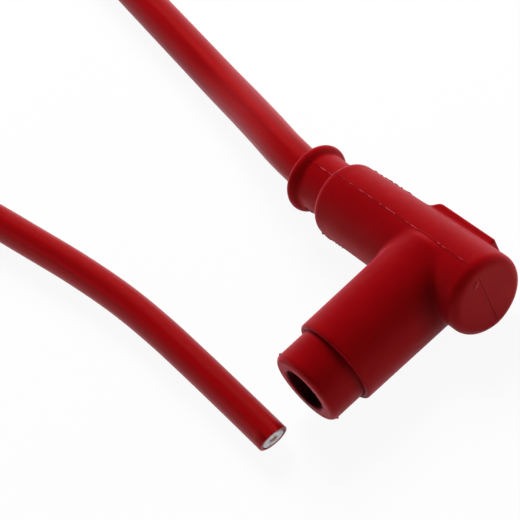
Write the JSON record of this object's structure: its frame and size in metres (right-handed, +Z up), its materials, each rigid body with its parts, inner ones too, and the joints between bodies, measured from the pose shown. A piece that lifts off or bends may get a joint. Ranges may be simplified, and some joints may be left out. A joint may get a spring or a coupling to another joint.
{
  "type": "spark plug wire",
  "caption": "Right-angle silicone spark plug cap on a thick silicone ignition lead that loops back to a bare cut end.",
  "frame": {"origin": "On the ground under the middle of the cap with its plug seal, lying flat on its side.", "axes": "+X runs along the cap's body from the neck to the closed end, -Y is the way that the plug arm's mouth faces, +Z is up."},
  "size_m": [0.2412, 0.086, 0.0178],
  "materials": {
    "cap_silicone": "satin",
    "seal_silicone": "satin",
    "lead_jacket": "gloss",
    "lead_insulation": "matte",
    "copper": "satin",
    "core_resin": "satin",
    "ceramic": "matte",
    "brass": "satin",
    "spring_steel": "satin"
  },
  "bodies": {
    "root": {"cap": "cap_silicone", "plug_seal": "seal_silicone", "core": "core_resin", "contact_cup": "brass", "lead_screw": "brass", "contact_spring": "spring_steel", "resistor_upper_cap": "brass", "resistor_rod": "ceramic", "resistor_lower_cap": "brass", "plug_terminal": "brass", "terminal_clip": "spring_steel", "lead_jacket": "lead_jacket", "lead_insulation": "lead_insulation", "lead_conductor": "copper"}
  },
  "joints": []
}
